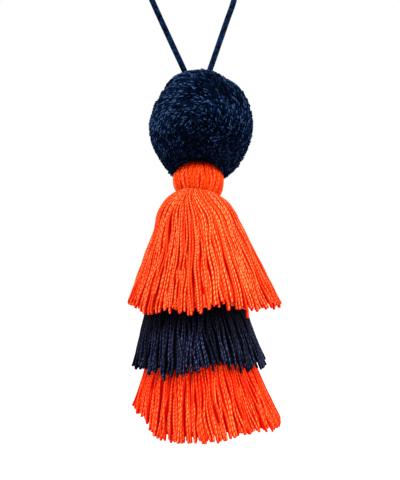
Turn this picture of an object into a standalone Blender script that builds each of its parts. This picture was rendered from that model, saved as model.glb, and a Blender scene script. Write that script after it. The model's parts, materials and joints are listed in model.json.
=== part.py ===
"""A hanging charm: a cut-pile pompom over a tassel of three nested skirts, on a loop of satin cord.

Run with: blender --background --python part.py
Lengths in the tables are millimetres. "Drop" is the depth below the pompom's top.
"""

import random
from collections import namedtuple
from math import ceil, cos, pi, radians, sin, tan, tau

import bmesh
import bpy
from mathutils import Euler, Vector

MM = 0.001
GAP = 0.3 * MM
SHARP_ANGLE = radians(35)

# Hanging point: the inner side of the cord at the top of the loop is the origin
LOOP_HEIGHT = 73.2 * MM
CORD_DIAMETER = 2.6 * MM
CORD_POINT_SPACING = 5.2 * MM
CORD_END_CLEARANCE = 0.5 * MM
ROUTE_SAMPLES = 24

RoutePoint = namedtuple("RoutePoint", "across up")
LOOP_ROUTE = (
    RoutePoint(-4.6, -10.8),
    RoutePoint(-5.6, -6.4),
    RoutePoint(-7.6, -1.2),
    RoutePoint(-14.9, 14.6),
    RoutePoint(-22.8, 32.0),
    RoutePoint(-26.6, 42.0),
    RoutePoint(-27.4, 52.0),
    RoutePoint(-23.6, 62.6),
    RoutePoint(-14.0, 71.2),
    RoutePoint(-1.0, 74.5),
    RoutePoint(9.6, 70.4),
    RoutePoint(16.4, 60.6),
    RoutePoint(18.2, 49.6),
    RoutePoint(17.6, 40.0),
    RoutePoint(15.7, 31.6),
    RoutePoint(12.2, 21.6),
    RoutePoint(4.3, -1.2),
    RoutePoint(2.4, -6.4),
    RoutePoint(1.6, -10.8),
)

# Pompom
POMPOM_HALF_WIDTH = 24.75 * MM
POMPOM_HALF_HEIGHT = 26.9 * MM
POMPOM_CORE_SHARE = 0.62
POMPOM_SIDE_CUTS = 3
POMPOM_TURN = (radians(17.0), radians(31.0), radians(8.0))
POMPOM_CORNER_JITTER = 0.045
LOCK_LEAN = 0.5 * MM
LOCK_SHORTEST_SHARE = 0.95
LOCK_STEPS = 12
LOCK_FEWEST_STEPS = 3
LOCK_PUSH_LIMIT = 3.6 * MM

# A lock of pile, from its root in the core (reach 0) to its cut end (reach 1)
LockSection = namedtuple("LockSection", "reach spread")
LOCK_SECTIONS = (
    LockSection(0.00, 0.91),
    LockSection(0.46, 0.93),
    LockSection(0.84, 0.85),
    LockSection(1.00, 0.46),
)

# Tassels
TASSEL_FORWARD = 3.5 * MM
HEM_TAPER = 0.55
SIDE_CORNER_SHARE = 0.62
ROOT_INSET = 0.2
STRAND_STAND_OFF = 0.5

# The room that the top tassel's head takes under the pompom, and the parting of the pile before it
HEAD_ROOM_DROP = 52.6
HEAD_ROOM_SWING = -1.0
HEAD_ROOM_HALF_WIDTH = 14.0 * MM
HEAD_ROOM_HALF_HEIGHT = 9.6 * MM
PARTING_DEPTH = 20.0 * MM

# A ring of a tassel: its depth, outer radius and how far its middle has swung to the right
Ring = namedtuple("Ring", "drop radius swing")
# A circle of strands: how many, how thick, how far in from the outer face at the root and at the hem,
# how much shorter than the outer circle, and the shares of its length at which it has a section
Layer = namedtuple("Layer", "strands thickness inset_root inset_hem shorter stations")
# Hem: its ragged spread, how much longer it is on the right, and how much shorter at the front
Tassel = namedtuple("Tassel", "name rib_relief head skirt layers ragged slant front_lift wander")
OUTER_STATIONS = (0.0, 0.28, 0.62, 0.93, 1.0)
INNER_STATIONS = (0.0, 0.50, 0.93, 1.0)

TOP_TASSEL = Tassel(
    name="top_tassel",
    rib_relief=0.28,
    head=(
        Ring(44.0, 0.0, -0.8),
        Ring(44.7, 4.6, -0.8),
        Ring(46.6, 8.6, -0.9),
        Ring(49.4, 11.5, -0.9),
        Ring(52.6, 12.5, -1.0),
        Ring(55.6, 11.9, -1.0),
        Ring(58.6, 10.7, -1.2),
        Ring(60.8, 12.7, -1.6),
        Ring(63.0, 15.3, -1.9),
        Ring(66.4, 17.9, -1.9),
    ),
    skirt=(
        Ring(66.4, 17.9, -1.9),
        Ring(75.9, 21.5, -1.2),
        Ring(87.0, 26.1, -0.2),
        Ring(99.0, 31.5, 0.7),
        Ring(110.8, 36.2, 1.3),
    ),
    layers=(Layer(60, 3.8, 0.0, 0.0, 0.0, OUTER_STATIONS),),
    ragged=1.2,
    slant=0.4,
    front_lift=0.4,
    wander=0.20,
)

MIDDLE_TASSEL = Tassel(
    name="middle_tassel",
    rib_relief=0.0,
    head=(
        Ring(66.8, 0.0, -1.6),
        Ring(66.9, 5.4, -1.6),
        Ring(70.2, 9.6, -1.6),
        Ring(76.0, 8.4, -1.8),
        Ring(84.0, 13.6, -2.2),
    ),
    skirt=(
        Ring(84.0, 13.6, -2.2),
        Ring(104.0, 20.3, -2.6),
        Ring(124.0, 26.8, -1.8),
        Ring(139.8, 31.3, -0.4),
    ),
    layers=(Layer(52, 3.8, 0.0, 0.0, 0.0, OUTER_STATIONS),),
    ragged=1.3,
    slant=0.0,
    front_lift=3.2,
    wander=0.20,
)

BOTTOM_TASSEL = Tassel(
    name="bottom_tassel",
    rib_relief=0.0,
    head=(
        Ring(84.4, 0.0, -2.0),
        Ring(84.5, 4.2, -2.0),
        Ring(87.4, 7.4, -2.0),
        Ring(93.0, 6.8, -1.8),
        Ring(101.0, 11.6, -1.6),
    ),
    skirt=(
        Ring(101.0, 11.6, -1.6),
        Ring(122.0, 19.0, -0.8),
        Ring(141.0, 26.0, 0.0),
        Ring(156.0, 32.0, 1.7),
        Ring(164.8, 35.0, 3.6),
    ),
    layers=(
        Layer(56, 3.6, 0.0, 0.0, 0.0, OUTER_STATIONS),
        Layer(28, 3.4, 4.2, 12.0, 2.5, INNER_STATIONS),
    ),
    ragged=1.4,
    slant=3.6,
    front_lift=0.6,
    wander=0.20,
)

# Colours, sRGB
PILE_NAVY = "0F1E39"
YARN_ORANGE = "F4541F"
YARN_NAVY = "16182A"
YARN_RED_ORANGE = "F03D18"
SATIN_NAVY = "14234A"


def clear_scene():
    """Leave nothing of the file's start-up scene."""
    for item in list(bpy.data.objects):
        bpy.data.objects.remove(item, do_unlink=True)


def linear_colour(hex_code):
    """An sRGB hex colour as Blender's linear one."""
    channels = [int(hex_code[start:start + 2], 16) / 255 for start in (0, 2, 4)]
    linear = [c / 12.92 if c <= 0.04045 else ((c + 0.055) / 1.055) ** 2.4 for c in channels]
    return (*linear, 1.0)


def new_material(name, hex_code, roughness):
    """A plain Principled material of one colour."""
    material = bpy.data.materials.new(name)
    material.use_nodes = True
    shader = material.node_tree.nodes["Principled BSDF"]
    shader.inputs["Base Color"].default_value = linear_colour(hex_code)
    shader.inputs["Roughness"].default_value = roughness
    shader.inputs["Metallic"].default_value = 0.0
    return material


def add_object(name, data, material):
    """Put a mesh or curve in the scene under its node's name."""
    data.materials.append(material)
    item = bpy.data.objects.new(name, data)
    bpy.context.scene.collection.objects.link(item)
    return item


def finish_mesh(name, bm):
    """Turn a bmesh into a mesh whose faces point out."""
    bmesh.ops.recalc_face_normals(bm, faces=bm.faces[:])
    mesh = bpy.data.meshes.new(name)
    bm.to_mesh(mesh)
    bm.free()
    mesh.shade_smooth()
    mesh.set_sharp_from_angle(angle=SHARP_ANGLE)
    return mesh


def height_of(drop_mm):
    """Height above the hanging point of something at a depth below the pompom's top."""
    return -LOOP_HEIGHT - drop_mm * MM


# Cord


def route_curve():
    """A dense Catmull-Rom curve through the cord's route points."""
    points = [Vector((p.across * MM, 0.0, height_of(-p.up))) for p in LOOP_ROUTE]
    points.insert(0, 2 * points[0] - points[1])
    points.append(2 * points[-1] - points[-2])
    curve = []
    for before, start, end, after in zip(points, points[1:], points[2:], points[3:]):
        for step in range(ROUTE_SAMPLES):
            t = step / ROUTE_SAMPLES
            curve.append(
                0.5 * (2 * start + (end - before) * t
                       + (2 * before - 5 * start + 4 * end - after) * t ** 2
                       + (3 * start - before - 3 * end + after) * t ** 3)
            )
    curve.append(points[-2])
    return curve


def spaced_points(curve, spacing):
    """Points at even distances along a dense curve, its two ends among them."""
    lengths = [0.0]
    for start, end in zip(curve, curve[1:]):
        lengths.append(lengths[-1] + (end - start).length)
    count = ceil(lengths[-1] / spacing)
    points = []
    index = 0
    for number in range(count + 1):
        target = lengths[-1] * number / count
        while index < len(curve) - 2 and lengths[index + 1] < target:
            index += 1
        share = (target - lengths[index]) / (lengths[index + 1] - lengths[index])
        points.append(curve[index].lerp(curve[index + 1], share))
    return points


def cord_curve(name, points, radius):
    """A round cord with filled ends along a run of points."""
    curve = bpy.data.curves.new(name, "CURVE")
    curve.dimensions = "3D"
    curve.bevel_depth = radius
    curve.bevel_resolution = 2
    curve.use_fill_caps = True
    spline = curve.splines.new("POLY")
    spline.points.add(len(points) - 1)
    for spline_point, point in zip(spline.points, points):
        spline_point.co = (*point, 1.0)
    spline.use_smooth = True
    return curve


def make_loop():
    """The satin cord, from one end in the pompom round to the other."""
    points = spaced_points(route_curve(), CORD_POINT_SPACING)
    curve = cord_curve("hanging_loop", points, CORD_DIAMETER / 2)
    add_object("hanging_loop", curve, new_material("satin_cord", SATIN_NAVY, 0.38))


def cord_socket_cutters():
    """Two hidden tubes, a gap wider than the cord, where its ends lie in the pile."""
    points = spaced_points(route_curve(), CORD_POINT_SPACING)
    top = height_of(-CORD_POINT_SPACING / MM)
    half = len(points) // 2
    cutters = []
    for side, run in (("left", points[:half]), ("right", points[half:][::-1])):
        inside = [point for point in run if point.z < top]
        inward = (inside[0] - inside[1]).normalized()
        inside[0] = inside[0] + inward * CORD_END_CLEARANCE
        curve = cord_curve(f"cord_socket_{side}", inside, CORD_DIAMETER / 2 + GAP)
        holder = bpy.data.objects.new(f"cord_socket_{side}_line", curve)
        bpy.context.scene.collection.objects.link(holder)
        bpy.context.view_layer.update()
        mesh = bpy.data.meshes.new_from_object(holder)
        bpy.data.objects.remove(holder, do_unlink=True)
        cutter = bpy.data.objects.new(f"cord_socket_{side}", mesh)
        bpy.context.scene.collection.objects.link(cutter)
        cutter.hide_render = True
        cutter.display_type = "WIRE"
        cutters.append(cutter)
    return cutters


# Tassels


def ring_at(rings, drop_mm):
    """The ring at any depth, read between the rows of a table."""
    if drop_mm <= rings[0].drop:
        return rings[0]
    for upper, lower in zip(rings, rings[1:]):
        if drop_mm <= lower.drop:
            share = (drop_mm - upper.drop) / (lower.drop - upper.drop)
            return Ring(*(a + (b - a) * share for a, b in zip(upper, lower)))
    return rings[-1]


def ring_point(ring, angle, radius_mm):
    """A point on a tassel's ring."""
    return Vector((
        ring.swing * MM + radius_mm * MM * cos(angle),
        -TASSEL_FORWARD + radius_mm * MM * sin(angle),
        height_of(ring.drop),
    ))


def root_frame(bm, rim, owners, corners):
    """Close the flat face round a strand's root: each rim edge runs to one corner of the strand."""
    count = len(rim)
    for index in range(count):
        following = (index + 1) % count
        corner = corners[owners[index]]
        next_corner = corners[owners[following]]
        bm.faces.new((rim[index], rim[following], corner))
        if next_corner is not corner:
            bm.faces.new((rim[following], next_corner, corner))


def grow(bm, root, sections):
    """Run a four-sided strand or lock from its root through its sections, and close its end."""
    last = root
    for section in sections:
        ring = [bm.verts.new(point) for point in section]
        for side in range(4):
            following = (side + 1) % 4
            bm.faces.new((last[side], last[following], ring[following], ring[side]))
        last = ring
    bm.faces.new(last)


def strand_section(ring, left, right, outer_mm, thickness_mm, size):
    """Four corners of a strand: its ridge, right side, inner edge and left side."""
    side_mm = outer_mm - thickness_mm * (1 - SIDE_CORNER_SHARE)
    gap_angle = 0.5 * GAP / (side_mm * MM)
    middle = 0.5 * (left + right)
    half = (0.5 * (right - left) - gap_angle) * size
    trim_mm = 0.5 * thickness_mm * (1 - size)
    return [
        ring_point(ring, middle, outer_mm - trim_mm),
        ring_point(ring, middle + half, side_mm),
        ring_point(ring, middle, outer_mm - thickness_mm + trim_mm),
        ring_point(ring, middle - half, side_mm),
    ]


def lathe_head(bm, tassel, columns):
    """The tied head, from its crown to the rim that the strands leave, ribbed as its yarns are."""
    crown = bm.verts.new(ring_point(tassel.head[0], 0.0, 0.0))
    rings = []
    for ring in tassel.head[1:]:
        relief = tassel.rib_relief if ring is not tassel.head[-1] else 0.0
        points = []
        for column in range(columns):
            proud = relief if column % 2 else -relief
            points.append(bm.verts.new(ring_point(ring, tau * column / columns, ring.radius + proud)))
        rings.append(points)
    for column in range(columns):
        following = (column + 1) % columns
        bm.faces.new((crown, rings[0][column], rings[0][following]))
        for upper, lower in zip(rings, rings[1:]):
            bm.faces.new((upper[column], lower[column], lower[following], upper[following]))
    return rings[-1]


def underside_ring(bm, tassel, count, radius_mm):
    """A ring of points on the flat underside of a head."""
    ring = tassel.head[-1]
    return [bm.verts.new(ring_point(ring, tau * column / count, radius_mm)) for column in range(count)]


def close_between(bm, outer, inner):
    """Faces between two rings of the underside, the inner with as many points or fewer."""
    per = len(outer) // len(inner)
    for column in range(len(inner)):
        following = (column + 1) % len(inner)
        run = [outer[(column * per + step) % len(outer)] for step in range(per + 1)]
        bm.faces.new((*run, inner[following], inner[column]))


def hem_drop(tassel, angle):
    """How deep a tassel's cut hem hangs on one side."""
    return tassel.skirt[-1].drop + tassel.slant * cos(angle) + tassel.front_lift * sin(angle)


def grow_layer(bm, tassel, layer, rim, inner_rim, rng):
    """One circle of strands, each between two boundary lines that neighbours share."""
    count = layer.strands
    per = len(rim) // count
    root_drop = tassel.skirt[0].drop
    nominal = tassel.skirt[-1].drop - root_drop
    wander = [rng.uniform(-tassel.wander, tassel.wander) for _ in range(count)]
    for number in range(count):
        following = (number + 1) % count
        hem = hem_drop(tassel, tau * (number + 0.5) / count) - layer.shorter
        length = hem + rng.uniform(-tassel.ragged, tassel.ragged) - root_drop
        stand = rng.uniform(-STRAND_STAND_OFF, STRAND_STAND_OFF)
        sections = []
        for share in layer.stations:
            ring = ring_at(tassel.skirt, root_drop + nominal * share)
            ring = ring._replace(drop=root_drop + length * share)
            left = tau * (number + wander[number] * share) / count
            right = tau * (number + 1 + wander[following] * share) / count
            inset = layer.inset_root + (layer.inset_hem - layer.inset_root) * share
            outer_mm = ring.radius - inset + stand * share
            thickness = layer.thickness
            if share == 0.0:
                outer_mm -= ROOT_INSET
                thickness -= 2 * ROOT_INSET
            size = HEM_TAPER if share == 1.0 else 1.0
            sections.append(strand_section(ring, left, right, outer_mm, thickness, size))
        outer_run = [rim[(number * per + step) % len(rim)] for step in range(per + 1)]
        inner_run = [inner_rim[following], inner_rim[number]]
        root = [bm.verts.new(point) for point in sections[0]]
        root_frame(bm, outer_run + inner_run, [0] * per + [1, 2, 3], root)
        grow(bm, root, sections[1:])


def make_tassel(tassel, material, seed):
    """A tassel: a head that is its backing, and the strands that hang from its rim."""
    rng = random.Random(seed)
    bm = bmesh.new()
    first = tassel.layers[0]
    columns = first.strands * (2 if tassel.rib_relief else 1)
    rim = lathe_head(bm, tassel, columns)
    rim_radius = tassel.head[-1].radius
    for layer in tassel.layers:
        if layer.inset_root:
            outer = underside_ring(bm, tassel, layer.strands, rim_radius - layer.inset_root)
            close_between(bm, rim, outer)
            rim = outer
        inner = underside_ring(bm, tassel, layer.strands, rim_radius - layer.inset_root - layer.thickness)
        grow_layer(bm, tassel, layer, rim, inner, rng)
        rim = inner
    bm.faces.new(rim)
    add_object(tassel.name, finish_mesh(tassel.name, bm), material)


# Pompom


def push_from_head(point):
    """Where the tassel's head, or the parting of the pile before it, pushes a point of the pile."""
    centre = Vector((HEAD_ROOM_SWING * MM, -TASSEL_FORWARD, height_of(HEAD_ROOM_DROP)))
    offset = point - centre
    ahead = max(min(0.0, offset.y), -PARTING_DEPTH)
    inward = Vector((offset.x, offset.y - ahead, max(offset.z, 0.0)))
    depth = Vector((
        inward.x / HEAD_ROOM_HALF_WIDTH,
        inward.y / HEAD_ROOM_HALF_WIDTH,
        inward.z / HEAD_ROOM_HALF_HEIGHT,
    )).length
    if depth >= 1.0 or depth == 0.0:
        return point
    return point + inward * (1 / depth - 1)


def pompom_point(direction, share):
    """A point in the pompom on a direction from its middle, at a share of its full size."""
    centre = Vector((0.0, 0.0, -LOOP_HEIGHT - POMPOM_HALF_HEIGHT))
    return centre + Vector((
        direction.x * POMPOM_HALF_WIDTH * share,
        direction.y * POMPOM_HALF_WIDTH * share,
        direction.z * POMPOM_HALF_HEIGHT * share,
    ))


def lock_sections(corners, reach, lean):
    """The four corners of a lock at each of its sections."""
    middle = sum(corners, Vector()) / 4
    sections = []
    for section in LOCK_SECTIONS:
        share = POMPOM_CORE_SHARE + (reach - POMPOM_CORE_SHARE) * section.reach
        sideways = lean * section.reach ** 2
        spread = [middle.lerp(corner, section.spread).normalized() for corner in corners]
        sections.append([pompom_point(direction, share) + sideways for direction in spread])
    return sections


def part_lock(sections):
    """The sections pushed clear of the tassel's head, or None where the root or too much of it moves."""
    parted = [[push_from_head(point) for point in section] for section in sections]
    if parted[0] != sections[0]:
        return None
    for section, moved in zip(sections, parted):
        for point, new_point in zip(section, moved):
            if (new_point - point).length > LOCK_PUSH_LIMIT:
                return None
    return parted


def even_direction(corner):
    """A point of a cube's face as a direction, spread so that the cells come out alike."""
    return Vector([tan(coordinate * pi / 4) for coordinate in corner]).normalized()


def make_pompom(material, seed):
    """A ball of four-sided locks on one core, shorter where the tassel's head sits in it."""
    rng = random.Random(seed)
    bm = bmesh.new()
    bmesh.ops.create_cube(bm, size=2.0)
    bmesh.ops.subdivide_edges(bm, edges=bm.edges[:], cuts=POMPOM_SIDE_CUTS, use_grid_fill=True)
    turn = Euler(POMPOM_TURN).to_matrix()
    directions = {}
    for vert in bm.verts:
        jitter = Vector([rng.uniform(-1, 1) for _ in range(3)]) * POMPOM_CORNER_JITTER
        directions[vert] = (turn @ even_direction(vert.co) + jitter).normalized()
        vert.co = pompom_point(directions[vert], POMPOM_CORE_SHARE)
    for face in bm.faces[:]:
        rim = list(face.verts)
        corners = [directions[vert] for vert in rim]
        full = rng.uniform(LOCK_SHORTEST_SHARE, 1.0)
        lean = Vector([rng.uniform(-1, 1) for _ in range(3)]) * LOCK_LEAN
        for step in range(LOCK_STEPS, LOCK_FEWEST_STEPS, -1):
            reach = POMPOM_CORE_SHARE + (full - POMPOM_CORE_SHARE) * step / LOCK_STEPS
            sections = part_lock(lock_sections(corners, reach, lean * step / LOCK_STEPS))
            if sections:
                bm.faces.remove(face)
                root = [bm.verts.new(point) for point in sections[0]]
                root_frame(bm, rim, (0, 1, 2, 3), root)
                grow(bm, root, sections[1:])
                break
    pompom = add_object("pompom", finish_mesh("pompom", bm), material)
    for cutter in cord_socket_cutters():
        socket = pompom.modifiers.new(cutter.name, "BOOLEAN")
        socket.operation = "DIFFERENCE"
        socket.solver = "EXACT"
        socket.object = cutter


def main():
    """Make the whole charm."""
    clear_scene()
    make_loop()
    make_pompom(new_material("pompom_pile", PILE_NAVY, 0.95), seed=11)
    make_tassel(TOP_TASSEL, new_material("top_yarn", YARN_ORANGE, 0.85), seed=21)
    make_tassel(MIDDLE_TASSEL, new_material("middle_yarn", YARN_NAVY, 0.85), seed=22)
    make_tassel(BOTTOM_TASSEL, new_material("bottom_yarn", YARN_RED_ORANGE, 0.85), seed=23)


main()
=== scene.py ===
"""A pompom charm: navy cut pile over a tassel of three nested yarn skirts, on a satin cord loop.

Laid out as a Blender add-on and run as a script. Lengths in the tables are millimetres.
"Drop" is the depth below the pompom's top, and angles round the charm start at +X.
"""

import json
from collections import namedtuple
from math import cos, exp, pi, radians, sin, tau

import bpy
import numpy as np
from bpy.props import FloatProperty, FloatVectorProperty, IntProperty, PointerProperty
from bpy.types import Operator, Panel, PropertyGroup
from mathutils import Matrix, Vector, noise

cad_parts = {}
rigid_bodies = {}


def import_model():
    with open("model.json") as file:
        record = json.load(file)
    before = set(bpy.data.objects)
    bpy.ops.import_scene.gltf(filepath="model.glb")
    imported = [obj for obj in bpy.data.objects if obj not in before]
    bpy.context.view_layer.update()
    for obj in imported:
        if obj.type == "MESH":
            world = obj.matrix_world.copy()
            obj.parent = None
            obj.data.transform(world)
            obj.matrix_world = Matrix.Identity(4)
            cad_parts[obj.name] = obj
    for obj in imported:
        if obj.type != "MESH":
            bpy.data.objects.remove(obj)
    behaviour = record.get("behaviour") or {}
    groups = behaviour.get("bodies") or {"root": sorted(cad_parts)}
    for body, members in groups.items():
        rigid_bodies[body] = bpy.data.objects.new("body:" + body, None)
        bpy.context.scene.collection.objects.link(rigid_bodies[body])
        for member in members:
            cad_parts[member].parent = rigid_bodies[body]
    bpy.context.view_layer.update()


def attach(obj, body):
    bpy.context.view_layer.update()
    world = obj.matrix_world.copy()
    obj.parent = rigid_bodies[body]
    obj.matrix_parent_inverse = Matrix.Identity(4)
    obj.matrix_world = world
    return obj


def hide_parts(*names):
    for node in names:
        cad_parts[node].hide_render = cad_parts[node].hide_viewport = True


bl_info = {
    "name": "Pompom Charm",
    "version": (1, 0, 0),
    "blender": (4, 5, 0),
    "location": "3D View > Sidebar > Charm",
    "description": "Builds a yarn pompom, its tassel and its cord loop round a packed model",
    "category": "Add Mesh",
}

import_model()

MM = 0.001

# Placing, as in the solids: how far the pompom's top lies below the hanging point, which is the origin,
# and how far the tassel's axis stands before the pompom's
LOOP_HEIGHT = 73.2
TASSEL_FORWARD = 3.5

# Camera, from the photograph: level, in front, looking along +Y
CAMERA_PLACE = (-0.24, -288.5, -154.8)
CAMERA_LENS = 45.45
CAMERA_SENSOR = 36.0

# Softboxes, in metres: place, and side of the square. Both face the charm's middle
CHARM_MIDDLE = (0.0, 0.0, -0.155)
KEY_SOFTBOX = ((-0.55, -0.55, 0.45), 0.45)
SIDE_SOFTBOX = ((0.75, -0.35, 0.0), 0.4)

# Floor, in metres: a wide white disc, so that it runs into the white round it
FLOOR_HEIGHT = -0.36
FLOOR_RINGS = (0.3, 1.0, 3.0, 9.0)
FLOOR_COLUMNS = 64

# Cord route: across, and up from the pompom's top
CORD_ROUTE = (
    (-4.6, -10.8), (-5.6, -6.4), (-7.6, -1.2), (-14.9, 14.6), (-22.8, 32.0), (-26.6, 42.0),
    (-27.4, 52.0), (-23.6, 62.6), (-14.0, 71.2), (-1.0, 74.5), (9.6, 70.4), (16.4, 60.6),
    (18.2, 49.6), (17.6, 40.0), (15.7, 31.6), (12.2, 21.6), (4.3, -1.2), (2.4, -6.4), (1.6, -10.8),
)
CORD_STEP = 0.8
CORD_SPAN_STEPS = 24
CORD_SIDES = 24
# The ribs of its woven cover: height as a share of the radius, and length in which they wind round once
CORD_RIB = 0.025
CORD_RIB_PITCH = 9.0
CORD_END_TAPER = 0.6

# Pompom: a ball a little taller than wide, with room under it for the tassel's head and a parting before that
POMPOM_HALF_WIDTH = 24.75
POMPOM_HALF_HEIGHT = 26.9
HEAD_ROOM_DROP = 52.6
HEAD_ROOM_SWING = -1.0
HEAD_ROOM_HALF_WIDTH = 12.3
HEAD_ROOM_HALF_HEIGHT = 7.6
PARTING_DEPTH = 20.0
# A cut end that this room would push further than this is left out: at its tip and at its root
TIP_PUSH_MOST = 12.0
ROOT_PUSH_MOST = 9.0
# The pile stands clear of the cord, from a little above the pompom's top
CORD_CLEARANCE = 0.45
CORD_CLEAR_FROM = 4.0
# A cut end's stations from root to tip, its thickness there, and its length as a share of the ball's size
PILE_STATIONS = np.array([0.0, 0.42, 0.75, 1.0])
PILE_THICKNESS = np.array([1.0, 1.15, 1.1, 0.55])
PILE_DEPTH = 0.115
# Some ends get a painted highlight, as if they caught the light. They lie over further, stand out a little
# and look thinner
BRIGHT_SHARE = 0.23
BRIGHT_LEAN = 1.2
BRIGHT_STANDS_OUT = 0.006
BRIGHT_THICKNESS = 0.82
# An end is left out where the cord or the head pushes its tip past this share of the ball's size, below the
# ball and elsewhere, or stretches a step between its stations past this length
SWOLLEN_BELOW = 1.07
SWOLLEN = 1.015
STRETCHED = 4.5
# The bound core under the pile: how far it is sunk, as a share of the ball's size, and its mesh
CORE_SUNK = 0.085
CORE_ROWS = 36
CORE_COLUMNS = 72
# The pile lies in a slow whorl round this direction, which faces the camera
WHORL = (-0.08, -0.95, -0.28)
# Patches of painted light and shade on the pile's front, in shares of its size: across, up, size and change
PILE_PATCHES = (
    (0.25, -0.25, 0.40, -0.22), (0.36, 0.74, 0.16, -0.55), (0.45, 0.48, 0.18, -0.60),
    (-0.27, 0.48, 0.35, 0.28), (-0.20, -0.55, 0.30, -0.22), (-0.14, 0.33, 0.08, -0.50),
    (0.04, 0.36, 0.08, -0.50), (-0.55, -0.02, 0.30, 0.68), (0.00, 0.12, 0.22, 0.45),
    (0.00, 0.88, 0.28, 0.15), (0.85, -0.15, 0.24, 0.60), (-0.58, -0.34, 0.16, -0.45),
    (0.12, 0.50, 0.22, -0.60), (0.80, 0.48, 0.15, -0.30), (0.50, -0.36, 0.20, -0.25),
    (0.56, -0.66, 0.14, 0.35),
)
# How much less the pile stands at its left, which was trimmed in steps: height and share of its half width
LEFT_TRIM = (
    (0.0, 0.010), (0.09, 0.020), (0.165, 0.030), (0.24, 0.035), (0.32, 0.045), (0.365, 0.050), (0.385, 0.150),
    (0.485, 0.120), (0.530, 0.075), (0.550, 0.140), (0.60, 0.110), (0.66, 0.070), (0.76, 0.030), (0.86, 0.0),
)

# A section across a tassel: its drop, its radius and how far its middle lies to the right
Ring = namedtuple("Ring", "drop radius swing")
# A skirt's yarns start at root_drop, come into view at fine_drop and are cut at the hem. The hem_line gives
# how much deeper the cut is at each angle, ragged how uneven it is, and tangle how much the yarns wander.
# Fanned is 1 where the neck sits askew and its yarns fan out, and 0 where it is hidden. The field after it is
# how much painted shade the yarns get under the skirt above
Skirt = namedtuple(
    "Skirt", "name rings root_drop fine_drop hem hem_line ragged tangle fanned sheltered layers filling")
# A layer of yarns: how many, how far in its hem spreads, how much shorter it is, and its stations above and
# below the drop from which it shows
Layer = namedtuple("Layer", "yarns spread shorter coarse fine")
# Yarn ends that fill the inside of the hem: how many, and between which shares of its radius
Filling = namedtuple("Filling", "yarns innermost outermost")

TOP_HEAD = (
    Ring(44.2, 3.2, -0.8), Ring(44.8, 5.0, -0.8), Ring(46.4, 8.4, -0.9), Ring(49.2, 11.0, -0.9),
    Ring(52.8, 12.0, -1.0), Ring(56.2, 11.7, -1.0), Ring(58.8, 10.4, -1.1), Ring(60.1, 8.9, -1.2),
    Ring(61.2, 6.8, -1.2), Ring(62.0, 4.6, -1.2),
)
TOP_SKIRT = Skirt(
    name="top",
    rings=(
        Ring(56.6, 5.6, -1.2), Ring(58.2, 7.2, -1.2), Ring(59.6, 9.2, -1.3), Ring(61.2, 12.0, -1.5),
        Ring(63.4, 14.9, -1.6), Ring(66.8, 17.4, -1.5), Ring(75.9, 20.9, -0.8), Ring(87.0, 25.5, 0.1),
        Ring(99.0, 30.7, 0.9), Ring(110.8, 35.4, 1.6),
    ),
    root_drop=56.6, fine_drop=58.8, hem=110.8, ragged=1.7, tangle=1.0, fanned=1, sheltered=0.0,
    hem_line=(
        (-180, -1.6), (-165, -1.2), (-150, -0.2), (-140, 2.8), (-130, 1.3), (-120, 0.6), (-110, -0.4),
        (-100, 0.6), (-90, 0.2), (-80, -2.8), (-70, -2.6), (-62, -1.2), (-59, 2.8), (-56, -0.2),
        (-40, 0.2), (-30, 0.0), (-10, 0.4), (20, 0.8), (60, -0.4), (90, 0.8), (120, -0.2), (150, 0.6),
    ),
    layers=(Layer(158, 0.0, 0.0, 0, 74), Layer(132, 0.3, 0.8, 14, 22)),
    filling=Filling(1150, 0.56, 0.95),
)
MIDDLE_SKIRT = Skirt(
    name="middle",
    rings=(
        Ring(66.9, 5.0, -1.6), Ring(70.2, 9.4, -1.6), Ring(76.0, 8.4, -1.8), Ring(84.0, 13.6, -2.2),
        Ring(104.0, 20.2, -2.5), Ring(124.0, 26.5, -1.7), Ring(139.8, 31.0, -0.4),
    ),
    root_drop=66.9, fine_drop=102.0, hem=139.8, ragged=1.8, tangle=1.8, fanned=0, sheltered=1.0,
    hem_line=(
        (-180, 0.0), (-165, -0.6), (-150, -1.4), (-140, 0.0), (-130, -1.6), (-120, -0.4), (-110, -1.0),
        (-100, -3.0), (-90, -3.2), (-80, -4.2), (-70, -4.6), (-60, -4.0), (-50, -4.0), (-40, -2.0),
        (-30, -2.0), (-10, -0.6), (30, 1.2), (60, 2.2), (90, 3.0), (120, 2.4), (150, 1.0),
    ),
    layers=(Layer(146, 0.0, 0.0, 10, 52), Layer(118, 0.3, 0.1, 10, 20)),
    filling=Filling(450, 0.72, 0.95),
)
BOTTOM_SKIRT = Skirt(
    name="bottom",
    rings=(
        Ring(84.5, 4.0, -2.0), Ring(87.4, 7.2, -2.0), Ring(93.0, 6.8, -1.8), Ring(101.0, 11.6, -1.6),
        Ring(122.0, 19.0, -0.8), Ring(141.0, 26.0, 0.0), Ring(156.0, 31.5, 1.4), Ring(164.8, 34.4, 2.8),
    ),
    root_drop=84.5, fine_drop=131.0, hem=164.8, ragged=0.8, tangle=1.1, fanned=0, sheltered=0.4,
    hem_line=(
        (-180, -5.4), (-165, -6.2), (-150, -5.0), (-143, -3.6), (-136, 0.0), (-130, 1.2), (-110, 1.4),
        (-100, 1.0), (-90, 0.4), (-80, 0.0), (-70, -0.8), (-60, -1.4), (-50, -1.4), (-40, -1.0),
        (-30, 0.2), (-15, 1.8), (0, 2.4), (30, 2.6), (60, 2.2), (90, 0.8), (120, -1.0), (150, -2.6),
    ),
    layers=(Layer(162, 0.0, 0.0, 10, 50), Layer(136, 0.3, -0.3, 12, 20)),
    filling=Filling(1650, 0.0, 0.95),
)

# How a skirt's yarns wander, each for itself: periods along them, and how far, across and in depth
ACROSS_PERIODS, ACROSS_STRENGTH = (40.0, 21.0, 9.0), 0.22
DEPTH_PERIODS, DEPTH_STRENGTH = (30.0, 13.0), 0.2
# How neighbours wander together: waves round the tassel, period along it, and how far
SHARED_WAVES = ((5, 34.0, 0.5), (11, 24.0, 0.4), (17, 20.0, 0.25), (29, 16.0, 0.12))
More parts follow.
